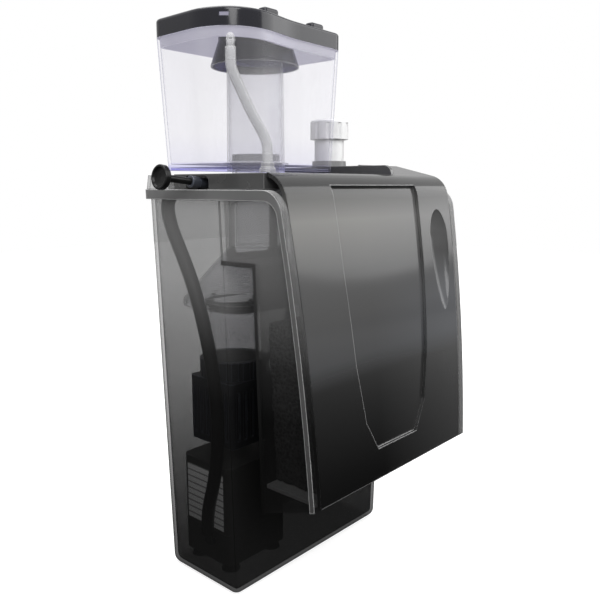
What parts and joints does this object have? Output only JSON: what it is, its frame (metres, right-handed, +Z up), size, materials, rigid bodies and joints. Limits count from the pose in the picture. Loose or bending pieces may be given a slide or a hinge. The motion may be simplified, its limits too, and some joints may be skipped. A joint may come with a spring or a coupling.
{
  "type": "hang-on protein skimmer",
  "caption": "Hang-on aquarium protein skimmer: smoked reactor box outside the tank, bridge and front hood inside it, clear foam cup with a lid on top.",
  "frame": {"origin": "centre of the bridge's underside, where it rests on the tank's rim", "axes": "+X along the tank's glass, +Y away from the tank, +Z up"},
  "size_m": [0.2577, 0.1958, 0.4685],
  "materials": {
    "smoked_shell": "glossy smoked, see-through",
    "smoked_cover": "glossy smoked, nearly opaque",
    "deck_grey": "satin charcoal",
    "clear_plastic": "clear, faintly tinted",
    "frosted_plastic": "milky clear",
    "lid_charcoal": "glossy charcoal",
    "deflector_smoke": "dark tinted, see-through",
    "soft_tube": "soft clear vinyl",
    "hose_black": "satin black",
    "rubber_black": "matte black",
    "knob_black": "glossy black",
    "pump_black": "satin black",
    "wheel_grey": "satin grey",
    "white_plastic": "smooth white",
    "collar_grey": "satin grey",
    "label_white": "blank printed label",
    "foam_black": "coarse open-cell foam",
    "magnet": "moulded ferrite",
    "ceramic": "polished ceramic"
  },
  "bodies": {
    "case": {"outer_case": "smoked_shell", "deck_cover": "deck_grey", "outlet_grille": "pump_black", "bubble_trap_foam": "foam_black", "reaction_chamber": "frosted_plastic", "neck_seal": "rubber_black", "air_valve_body": "pump_black", "air_hose": "hose_black", "air_nozzle": "pump_black", "level_collar": "collar_grey", "level_sleeve": "collar_grey", "pump_motor": "pump_black", "pump_volute": "pump_black", "pump_label": "label_white", "pump_feet": "rubber_black", "impeller_shaft": "ceramic", "shaft_bushes": "rubber_black", "discharge_pipe": "pump_black", "bubble_housing": "pump_black", "diffuser_plate": "wheel_grey", "union_nut": "pump_black", "power_cable": "rubber_black", "cable_grommet": "rubber_black"},
    "cover": {"front_cover": "smoked_cover"},
    "cup": {"collection_cup": "clear_plastic", "cup_riser": "frosted_plastic", "cup_elbow": "frosted_plastic", "clear_tube": "soft_tube", "tube_connector": "frosted_plastic"},
    "lid": {"cup_lid": "lid_charcoal", "foam_deflector": "deflector_smoke"},
    "knob": {"air_valve_knob": "knob_black"},
    "level": {"level_pipe": "white_plastic", "level_cap": "white_plastic"},
    "rotor": {"rotor_magnet": "magnet", "needle_wheel": "wheel_grey"}
  },
  "joints": [
    {"name": "cover_lift", "type": "slide", "parent": "case", "child": "cover", "axis": [0, 0, 1], "range_m": [0, 0.09]},
    {"name": "cup_lift", "type": "slide", "parent": "case", "child": "cup", "axis": [0, 0, 1], "range_m": [0, 0.12]},
    {"name": "lid_lift", "type": "slide", "parent": "cup", "child": "lid", "axis": [0, 0, 1], "range_m": [0, 0.08]},
    {"name": "valve_turn", "type": "hinge", "parent": "case", "child": "knob", "pos_m": [-0.10799, 0.042, 0.06016], "axis": [-0.9942, 0, 0.108], "range_deg": [0, 270]},
    {"name": "level_turn", "type": "hinge", "parent": "case", "child": "level", "pos_m": [0.075, 0.0655, 0], "axis": [0, 0, 1], "range_deg": [0, 180]},
    {"name": "rotor_spin", "type": "hinge", "parent": "case", "child": "rotor", "pos_m": [-0.0475, 0.072, -0.24], "axis": [0, 0, 1], "continuous": true}
  ]
}
